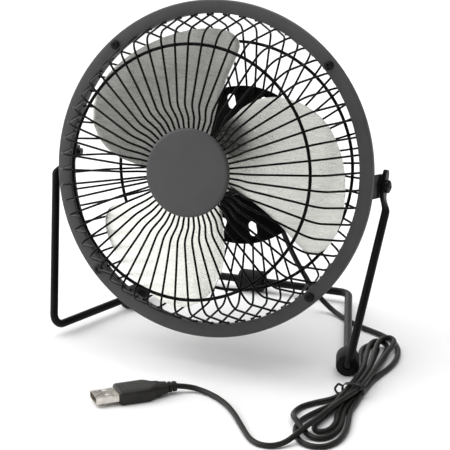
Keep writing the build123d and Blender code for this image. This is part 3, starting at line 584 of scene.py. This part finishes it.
# A closed form through rounded rectangles: (along, width, height, squareness, x, y)
def lofted(bm, sections, sides):
    made = bmesh.ops.create_circle(bm, cap_ends=False, segments=sides, radius=1)
    angles = {vert: atan2(vert.co.y, vert.co.x) for vert in made["verts"]}
    ring = list({edge for vert in angles for edge in vert.link_edges})
    rings = [ring]
    for number, (along, width, height, squareness, x, y) in enumerate(sections):
        if number:
            made = bmesh.ops.extrude_edge_only(bm, edges=ring)
            new = [item for item in made["geom"] if isinstance(item, bmesh.types.BMVert)]
            ring = [item for item in made["geom"] if isinstance(item, bmesh.types.BMEdge)
                    and all(vert in new for vert in item.verts)]
            angles = {vert: angles[edge.other_vert(vert)] for vert in new
                      for edge in vert.link_edges if edge.other_vert(vert) in angles}
        for vert, angle in angles.items():
            side, high = cos(angle), sin(angle)
            reach = (abs(side) ** squareness + abs(high) ** squareness) ** (-1 / squareness)
            vert.co = (x + side * reach * width / 2, y + high * reach * height / 2, along)
    bmesh.ops.contextual_create(bm, geom=rings[0])
    bmesh.ops.contextual_create(bm, geom=ring)


def makePlugGrip():
    grip = bmesh.new()
    wide, high = plugValues["width"], plugValues["height"]
    sections = [
        (0, 4.6, 4.6, 2), (0.3, 5.6, 5.4, 2), (1.9, 5.8, 5.6, 2), (2.2, 4.6, 4.6, 2), (2.9, 4.6, 4.6, 2),
        (3.1, 6.0, 5.8, 2), (4.3, 6.2, 5.9, 2), (4.5, 4.8, 4.8, 2), (5.3, 5.0, 5.0, 2), (5.5, 7.6, 5.9, 2.6),
        (9.3, 9.2, 6.4, 3), (9.5, 10.2, 6.8, 3.4), (13.0, 11.0, 7.1, 4), (14.6, 13.4, 7.4, 5),
        (16.2, wide - 0.3, high - 0.1, 6), (17.6, wide, high, 7), (31.8, wide, high, 7),
        (32.7, wide - 0.4, high - 0.4, 6), (33.2, wide - 1.5, high - 1.4, 6),
    ]
    lofted(grip, [(*section, 0, 0) for section in sections], 40)
    return newPiece("plug_grip", grip, "stand", plugFinish, place=plugFrame, sharp=50,
                    stands=("plug_body",))


def makePlugShell():
    start = plugValues["reliefLength"] + plugValues["gripLength"]
    wide, high, wall = plugValues["shellWidth"], plugValues["shellHeight"], plugValues["shellWall"]
    shell = bmesh.new()
    outer = [(start - 4, wide, high, 9, 0, 0),
             (start + plugValues["shellLength"], wide, high, 9, 0, 0)]
    lofted(shell, outer, 48)
    mouth = bmesh.new()
    inner = [(start - 3, wide - 2 * wall, high - 2 * wall, 9, 0, 0),
             (start + plugValues["shellLength"] + 1, wide - 2 * wall, high - 2 * wall, 9, 0, 0)]
    lofted(mouth, inner, 48)
    for side in (-1, 1):
        for top in (-1, 1):
            made = bmesh.ops.create_cube(mouth, size=1)
            bmesh.ops.scale(mouth, verts=made["verts"], vec=(2.0, 1.4, 2.0))
            bmesh.ops.translate(mouth, verts=made["verts"], vec=(side * 2.75, top * high / 2, start + 6.2))
    return newPiece("plug_case", cutBy(shell, mouth), "stand", plugMetalFinish,
                    place=plugFrame, stands=("plug_shell",))


plugGrip = makePlugGrip()
plugCase = makePlugShell()


# Twist tie: a flat band round the hank, with its two ends twisted together
tieValues = {
    "middle": Vector((98.2, -66.0, 3.68)),
    "width": 3.0,
    "across": 6.0,
    "high": 3.5,
    "thickness": 0.35,
    "sections": 28,
    "wire": 0.6,
    "loop": [
        (92.6, -66.0, 5.0), (89.6, -65.6, 6.0), (87.6, -66.4, 3.2), (89.6, -67.4, 1.2), (92.5, -66.8, 1.4),
    ],
    "loopBends": [1.0, 1.4, 1.0],
}


def makeTie():
    band = bmesh.new()
    middle = tieValues["middle"]
    first = bmesh.ops.create_grid(band, x_segments=tieValues["sections"], y_segments=1, size=0.5)
    for vert in first["verts"]:
        angle = vert.co.x * 2 * pi
        side = vert.co.y * tieValues["width"]
        x, z = cos(angle), sin(angle)
        reach = (abs(x) ** 3 + abs(z) ** 3) ** (-1 / 3)
        vert.co = (middle.x + x * reach * tieValues["across"], middle.y + side,
                   middle.z + z * reach * tieValues["high"])
    bmesh.ops.remove_doubles(band, verts=band.verts, dist=0.01)
    bmesh.ops.recalc_face_normals(band, faces=band.faces)
    bmesh.ops.solidify(band, geom=band.faces, thickness=-tieValues["thickness"])
    bentWire(band, tieValues["loop"], tieValues["loopBends"], tieValues["wire"], 10, 15)
    return newPiece("tie", band, "stand", plasticFinish, place=floorFrame,
                    stands=("twist_tie",))


tie = makeTie()
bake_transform(cord)
print("plug and tie made")


# Rings, their screws, and the wires of both guards
ringValues = {
    "outside": 92.5,
    "inside": 85.1,
    "face": 17.1,
    "joint": 13.9,
    "screwCircle": 88.75,
}


def makeFrontRing():
    outside, inside = ringValues["outside"], ringValues["inside"]
    face, joint = ringValues["face"], ringValues["joint"]
    ring = bmesh.new()
    turned(ring, [
        (inside, joint + 0.1), (inside, face - 0.5), (inside + 0.15, face - 0.15), (inside + 0.5, face),
        (outside - 1.0, face), (outside - 0.45, face - 0.14), (outside - 0.12, face - 0.5),
        (outside, face - 1.0), (outside, joint), (outside - 1.0, joint), (outside - 1.0, face - 1.0),
        (inside + 0.9, face - 1.0), (inside + 0.9, joint + 0.1),
    ], 192, closed=True)
    return newPiece("ring_front", ring, "head", ringFinish, stands=("front_ring",))


def makeRearRing():
    outside, inside, joint = ringValues["outside"], ringValues["inside"], ringValues["joint"]
    ring = bmesh.new()
    turned(ring, [
        (inside, joint - 4.0), (inside, joint), (outside - 0.2, joint), (outside, joint - 0.2),
        (outside, joint - 0.8), (outside - 0.2, joint - 1.0), (inside + 1.6, joint - 1.0),
        (inside + 1.1, joint - 1.2), (inside + 0.9, joint - 1.7), (inside + 0.9, joint - 4.0),
    ], 192, closed=True)
    return newPiece("ring_rear", ring, "head", ringFinish, stands=("rear_ring",))


# A domed pan-head screw with a cross recess, its head standing on z = 0
def panScrew(headRadius, headHeight, shankRadius, shankLength, recess):
    screw = bmesh.new()
    dome = [(0, headHeight)]
    for step in range(1, 7):
        angle = step * pi / 14
        dome.append((headRadius * sin(angle) * 1.02, headHeight * (0.42 + 0.58 * cos(angle))))
    dome += [(headRadius, headHeight * 0.4), (headRadius, 0), (shankRadius, 0),
             (shankRadius, -shankLength), (0, -shankLength)]
    turned(screw, dome, 32)
    cutter = bmesh.new()
    crossSlot(cutter, recess, headHeight * 0.6, headHeight)
    return cutBy(screw, cutter)


ringScrewValues = {
    "headRadius": 2.65,
    "headHeight": 1.6,
    "shankRadius": 1.25,
    "shankLength": 7.2,
    "recess": 2.9,
    "recessTurn": 0.4,
    "count": 4,
}


def makeRingScrews():
    screws = panScrew(ringScrewValues["headRadius"], ringScrewValues["headHeight"],
                      ringScrewValues["shankRadius"], ringScrewValues["shankLength"],
                      ringScrewValues["recess"])
    recessTurn = Matrix.Rotation(ringScrewValues["recessTurn"], 3, "Z")
    bmesh.ops.rotate(screws, verts=screws.verts, cent=(0, 0, 0), matrix=recessTurn)
    bmesh.ops.translate(screws, verts=screws.verts, vec=(ringValues["screwCircle"], 0, ringValues["face"]))
    bmesh.ops.rotate(screws, verts=screws.verts, cent=(0, 0, 0), matrix=Matrix.Rotation(pi / 4, 3, "Z"))
    repeated(screws, ringScrewValues["count"])
    return newPiece("screws_ring", screws, "head", screwFinish, stands=("ring_screws",))


# Each guard's wires: (radius, ahead) corners from the middle out, and the radii of their bends
spokeValues = {
    "radius": 0.6,
    "count": 56,
    "frontCorners": [
        (20.5, 48.6), (29.6, 49.3), (36.4, 54.6), (76.3, 48.5), (84.3, 18.3), (84.55, 14.3),
    ],
    "frontBends": [5, 6, 9, 8],
    "frontAngle": 4.8,
    "rearCorners": [
        (41.5, -29.15), (44.4, -29.05), (58.8, -24.1), (78.2, -15.9), (84.5, 9.5), (84.55, 13.5),
    ],
    "rearBends": [6, 20, 8, 8],
    "rearAngle": 0.9,
}
hoopValues = {
    "radius": 0.9,
    "front": (68.5, 48.2),
    "rear": (69.7, -17.9),
}


def makeSpokes(name, profile, bends, angle, stands):
    spokes = bmesh.new()
    sideways, upwards = cos(radians(angle)), sin(radians(angle))
    corners = [(radius * sideways, radius * upwards, ahead) for radius, ahead in profile]
    bentWire(spokes, corners, bends, spokeValues["radius"], 10, 12)
    repeated(spokes, spokeValues["count"])
    return newPiece(name, spokes, "head", wireFinish, stands=stands, sharp=60)


def makeHoop(name, radius, ahead, stands):
    hoop = bmesh.new()
    lie = Matrix.Translation((radius, 0, ahead)) @ Matrix.Rotation(pi / 2, 4, "X")
    made = bmesh.ops.create_circle(hoop, cap_ends=False, segments=14,
                                   radius=hoopValues["radius"], matrix=lie)
    edges = list({edge for vert in made["verts"] for edge in vert.link_edges})
    bmesh.ops.spin(hoop, geom=made["verts"] + edges, cent=(0, 0, 0), axis=(0, 0, 1), angle=2 * pi,
                   steps=160, use_merge=True)
    return newPiece(name, hoop, "head", wireFinish, stands=stands, sharp=60)


makeFrontRing()
makeRearRing()
makeRingScrews()
makeSpokes("spokes_front", spokeValues["frontCorners"], spokeValues["frontBends"],
           spokeValues["frontAngle"], ("front_spokes",))
makeSpokes("spokes_rear", spokeValues["rearCorners"], spokeValues["rearBends"],
           spokeValues["rearAngle"], ("rear_spokes",))
makeHoop("hoop_front", *hoopValues["front"], ("front_hoop",))
makeHoop("hoop_rear", *hoopValues["rear"], ("rear_hoop",))
print("guards made")


# Cap, motor and rear cover
def makeCap():
    cap = bmesh.new()
    turned(cap, [
        (0, 51.75), (14, 51.74), (21.8, 51.7), (22.9, 51.6), (23.5, 51.3), (23.85, 50.8), (23.9, 50.3),
        (23.9, 49.7), (23.75, 49.55), (4.5, 49.55), (4.5, 48.05), (1.15, 48.05), (1.15, 50.55), (0, 50.55),
    ], 96)
    return newPiece("cap", cap, "head", capFinish, stands=("hub_cap",))


def makeMotorCan():
    can = bmesh.new()
    turned(can, [
        (3, -29.7), (15.0, -29.7), (15.7, -29.4), (16, -28.7), (16, -3.2), (15.8, -2.75), (15, -2.7),
        (15, -28.7), (5, -28.7), (5, -25.7), (3, -25.7),
    ], 64, closed=True)
    return newPiece("can", can, "head", steelFinish, stands=("motor_can",))


coverValues = {
    "radius": 25.0,
    "wall": 1.6,
    "front": -30.7,
    "back": -54.0,
    "bend": 4.0,
    "opening": (12.8, 8.6),
}


def makeCover():
    radius, wall, bend = coverValues["radius"], coverValues["wall"], coverValues["bend"]
    front, back = coverValues["front"], coverValues["back"]
    outline = [(0, back)]
    outline += [(radius - bend + bend * sin(radians(turn)), back + bend - bend * cos(radians(turn)))
                for turn in range(0, 91, 10)]
    outline += [(radius, front - 0.25), (radius - 0.25, front), (radius - wall, front),
                (radius - wall, back + bend)]
    outline += [(radius - bend + (bend - wall) * cos(radians(turn)),
                 back + bend - (bend - wall) * sin(radians(turn)))
                for turn in range(15, 91, 15)]
    outline.append((0, back + wall))
    cover = bmesh.new()
    turned(cover, outline, 96)
    cutter = bmesh.new()
    made = bmesh.ops.create_cube(cutter, size=1)
    bmesh.ops.scale(cutter, verts=made["verts"], vec=(*coverValues["opening"], 6))
    bmesh.ops.translate(cutter, verts=made["verts"], vec=(0, 0, back))
    return newPiece("cover", cutBy(cover, cutter), "head", plasticFinish,
                    stands=("rear_cover",))


makeCap()
makeMotorCan()
makeCover()
print("cap, motor and cover made")


# Blades: three pitched, hollowed sheets on a hub
bladeValues = {
    "count": 3,
    "phase": radians(138.4),
    "centre": 23.5,
    "hollow": 2.5,
    "slope": 0.394,
    "bow": 0.00129,
    "offset": 11.0,
    "thickness": 1.2,
    "rows": [
        (12.5, 58, -44), (20.9, 50, -46.5), (29.4, 45, -48), (36.6, 41, -49), (43.5, 38.5, -50.3),
        (50.8, 35, -51.7), (57.5, 30.8, -53.2), (64.3, 25, -54.3), (69, 19.5, -54), (72.6, 14, -52),
        (75.2, 8.5, -48.5), (76.7, 2, -43.5), (77.4, -8, -34),
    ],
}


# A smooth run through the rows, from 0 at the first to 1 at the last
def alongRows(rows, share):
    place = share * (len(rows) - 1)
    index = min(int(place), len(rows) - 2)
    part = place - index
    before, start = rows[max(index - 1, 0)], rows[index]
    end, after = rows[index + 1], rows[min(index + 2, len(rows) - 1)]
    return [0.5 * (2 * b + (c - a) * part + (2 * a - 5 * b + 4 * c - d) * part ** 2
                   + (3 * b - a - 3 * c + d) * part ** 3)
            for a, b, c, d in zip(before, start, end, after)]


def makeBlades():
    blades = bmesh.new()
    made = bmesh.ops.create_grid(blades, x_segments=32, y_segments=48, size=0.5)
    for vert in made["verts"]:
        radius, start, end = alongRows(bladeValues["rows"], vert.co.y + 0.5)
        angle = radians(start + (end - start) * (vert.co.x + 0.5))
        side = radius * sin(angle)
        run = side + bladeValues["offset"]
        ahead = (bladeValues["centre"] - bladeValues["hollow"] + bladeValues["slope"] * run
                 + bladeValues["bow"] * run ** 2)
        vert.co = (radius * cos(angle), side, ahead)
    bmesh.ops.recalc_face_normals(blades, faces=blades.faces)
    sheet = bmesh.ops.extrude_face_region(blades, geom=blades.faces[:])
    front = [item for item in sheet["geom"] if isinstance(item, bmesh.types.BMVert)]
    bmesh.ops.translate(blades, verts=front, vec=(0, 0, bladeValues["thickness"]))
    bmesh.ops.recalc_face_normals(blades, faces=blades.faces)
    soften(blades, 0.35, 2, 60)
    bmesh.ops.rotate(blades, verts=blades.verts, cent=(0, 0, 0),
                     matrix=Matrix.Rotation(bladeValues["phase"], 3, "Z"))
    repeated(blades, bladeValues["count"])
    newPiece("blades", blades, "rotor", bladeFinish, sharp=40, stands=("blade_set",))
    hub = bmesh.new()
    turned(hub, [
        (0, 33), (13.6, 33), (14.2, 32.8), (14.5, 32.1), (14.5, 11), (12.5, 11), (12.5, 31), (5, 31),
        (5, 13), (1.5, 13), (1.5, 31), (0, 31),
    ], 72)
    newPiece("hub", hub, "rotor", bladeFinish, stands=("blade_set",))


makeBlades()
print("blades made")


# Pivots: brackets on the rear ring, and screws through the stand's eyelets
pivotValues = {
    "outside": 92.5,
    "thickness": 1.2,
    "halfWidth": 6.5,
    "reach": 12.95,
    "headStart": 95.2,
    "headRadius": 3.6,
    "headHeight": 2.7,
    "shankRadius": 1.95,
    "tip": 86.15,
}


def makePivot(side, name):
    toSide = Matrix((
        (0, 0, side, 0),
        (0, -1, 0, 0),
        (1, 0, 0, 0),
        (0, 0, 0, 1),
    ))
    bracket = bmesh.new()
    made = bmesh.ops.create_circle(bracket, cap_ends=True, segments=48, radius=pivotValues["halfWidth"])
    for vert in made["verts"]:
        if vert.co.x > 0.1:
            vert.co.x = pivotValues["reach"]
            if abs(vert.co.y) > pivotValues["halfWidth"] - 0.1:
                vert.co.y = pivotValues["halfWidth"] * (1 if vert.co.y > 0 else -1)
    made = bmesh.ops.extrude_face_region(bracket, geom=bracket.faces[:])
    outer = [item for item in made["geom"] if isinstance(item, bmesh.types.BMVert)]
    bmesh.ops.translate(bracket, verts=outer, vec=(0, 0, pivotValues["thickness"]))
    bmesh.ops.recalc_face_normals(bracket, faces=bracket.faces)
    soften(bracket, 0.2, 2, 60)
    inside = Matrix.Translation((0, 0, pivotValues["outside"] - pivotValues["thickness"]))
    newPiece("bracket_" + name, bracket, "head", standFinish,
             place=fanFrame @ toSide @ inside, stands=("pivot_bracket_" + name,))
    screw = panScrew(pivotValues["headRadius"], pivotValues["headHeight"], pivotValues["shankRadius"],
                     pivotValues["headStart"] - pivotValues["tip"], 4.0)
    newPiece("pivot_" + name, screw, "stand", screwFinish,
             place=fanFrame @ toSide @ Matrix.Translation((0, 0, pivotValues["headStart"])),
             stands=("pivot_screw_" + name,))


makePivot(1, "right")
makePivot(-1, "left")


# Stand: one bent rod, with its two ends flattened into eyelets
standValues = {
    "radius": 2.25,
    "height": 6.2,
    "rear": (49.5, 65.3),
    "foot": (87.6, -45.9),
    "top": (99.5, -11.9, 98.5),
    "endShare": 0.87,
    "bends": [5.5, 8.0, 8.0, 5.5],
    "eyeletX": 94.1,
}


def makeStand():
    height = standValues["height"]
    foot = Vector((*standValues["foot"], height))
    rear = Vector((*standValues["rear"], height))
    end = foot.lerp(Vector(standValues["top"]), standValues["endShare"])
    flip = Vector((-1, 1, 1))
    stand = bmesh.new()
    corners = [end * flip, foot * flip, rear * flip, rear, foot, end]
    bentWire(stand, corners, standValues["bends"], standValues["radius"], 20, 9)
    newPiece("rod", stand, "stand", standFinish, place=floorFrame, stands=("stand_rod",))
    lean = Vector(standValues["top"]) - foot
    lean.x = 0
    lean.normalize()
    inPlane = lean.cross(across)
    eyelet = Vector((standValues["eyeletX"], pivot.y / mm, pivot.z / mm))
    offset = eyelet - end
    x, y, along = offset.x, offset.dot(inPlane), offset.dot(lean)
    sections = [
        (-1.2, 4.4, 4.4, 2, -0.15, 0), (0.4, 4.5, 4.5, 2, 0.05, 0), (1.6, 4.3, 4.7, 2.1, 0.0, y * 0.04),
        (2.8, 3.9, 5.1, 2.3, x * 0.10, y * 0.14), (4.0, 3.4, 5.7, 2.7, x * 0.28, y * 0.32),
        (5.2, 2.9, 6.3, 3.2, x * 0.5, y * 0.55), (6.4, 2.5, 6.7, 4, x * 0.72, y * 0.77),
        (7.6, 2.3, 6.9, 5, x * 0.89, y * 0.92), (8.8, 2.2, 7.0, 6, x * 0.98, y * 0.99),
        (10.0, 2.2, 7.0, 6, x, y), (along + 6.4, 2.2, 7.0, 6, x, y), (along + 7.9, 2.2, 6.2, 5, x, y),
        (along + 8.7, 2.1, 4.8, 5, x, y), (along + 9.0, 1.9, 3.2, 4, x, y),
    ]
    for side, name in ((1, "right"), (-1, "left")):
        tip = bmesh.new()
        lofted(tip, sections, 32)
        place = floorFrame @ Matrix.Diagonal((side, 1, 1, 1)) @ Matrix((
            (1, inPlane.x, lean.x, end.x),
            (0, inPlane.y, lean.y, end.y),
            (0, inPlane.z, lean.z, end.z),
            (0, 0, 0, 1),
        ))
        newPiece("eyelet_" + name, tip, "stand", standFinish, place=place,
                 stands=("stand_rod",))


# Feet: rubber sleeves on the floor rods, each at a corner, a direction and a distance along it
footPlaces = {
    "right": (Vector((87.6, -45.9, 6.2)), Vector((-38.1, 111.2, 0)).normalized(), 11.9),
    "left": (Vector((-87.6, -45.9, 6.2)), Vector((38.1, 111.2, 0)).normalized(), 66.0),
    "rear": (Vector((-11.2, 65.3, 6.2)), Vector((1, 0, 0)), 0.0),
}


def makeFoot(name):
    corner, run, distance = footPlaces[name]
    foot = bmesh.new()
    turned(foot, [
        (2.25, -7.5), (5.2, -7.5), (5.9, -7.2), (6.2, -6.5),
        (6.2, 6.5), (5.9, 7.2), (5.2, 7.5), (2.25, 7.5),
    ], 48, closed=True)
    lie = run.to_track_quat("Z", "Y").to_matrix().to_4x4()
    place = floorFrame @ Matrix.Translation(corner + run * distance) @ lie
    newPiece("sleeve_" + name, foot, "stand", rubberFinish, place=place,
             stands=("foot_" + name,))


makeStand()
for footName in footPlaces:
    makeFoot(footName)
print("stand and feet made")


# Floor and lights
floorBm = bmesh.new()
bmesh.ops.create_grid(floorBm, x_segments=1, y_segments=1, size=12)
floorMaterial, _ = newFinish("floor", (0.92, 0.92, 0.92), 0.7)
floor = newPiece("floor", floorBm, None, floorMaterial, place=Matrix.Identity(4))

# The surroundings are bright above and to the left, and darker to the right
world = bpy.data.worlds.new("studio")
world.use_nodes = True
worldNodes, worldLinks = world.node_tree.nodes, world.node_tree.links
direction = worldNodes.new("ShaderNodeTexCoord")
parts = worldNodes.new("ShaderNodeSeparateXYZ")
sides = worldNodes.new("ShaderNodeMapRange")
sides.interpolation_type = "SMOOTHSTEP"
sides.inputs["From Min"].default_value = -0.8
sides.inputs["From Max"].default_value = 0.15
sides.inputs["To Min"].default_value = 1.9
sides.inputs["To Max"].default_value = 0.28
worldLinks.new(direction.outputs["Generated"], parts.inputs["Vector"])
worldLinks.new(parts.outputs["X"], sides.inputs["Value"])
worldLinks.new(sides.outputs["Result"], worldNodes["Background"].inputs["Strength"])
worldNodes["Background"].inputs["Color"].default_value = (1, 1, 1, 1)
scene.world = world
lamps = [
    ("key", (-1.4, -0.5, 1.4), 1.4, 12.0),
    ("top", (0.1, 0.3, 1.9), 1.8, 22.0),
]
for lampName, lampPlace, lampSize, lampPower in lamps:
    lamp = bpy.data.lights.new(lampName, "AREA")
    lamp.size = lampSize
    lamp.energy = lampPower
    lampObject = bpy.data.objects.new(lampName, lamp)
    scene.collection.objects.link(lampObject)
    lampObject.location = lampPlace
    aim = Vector((0, 0, 0.08)) - Vector(lampPlace)
    lampObject.rotation_euler = aim.to_track_quat("-Z", "Y").to_euler()

print("lit")
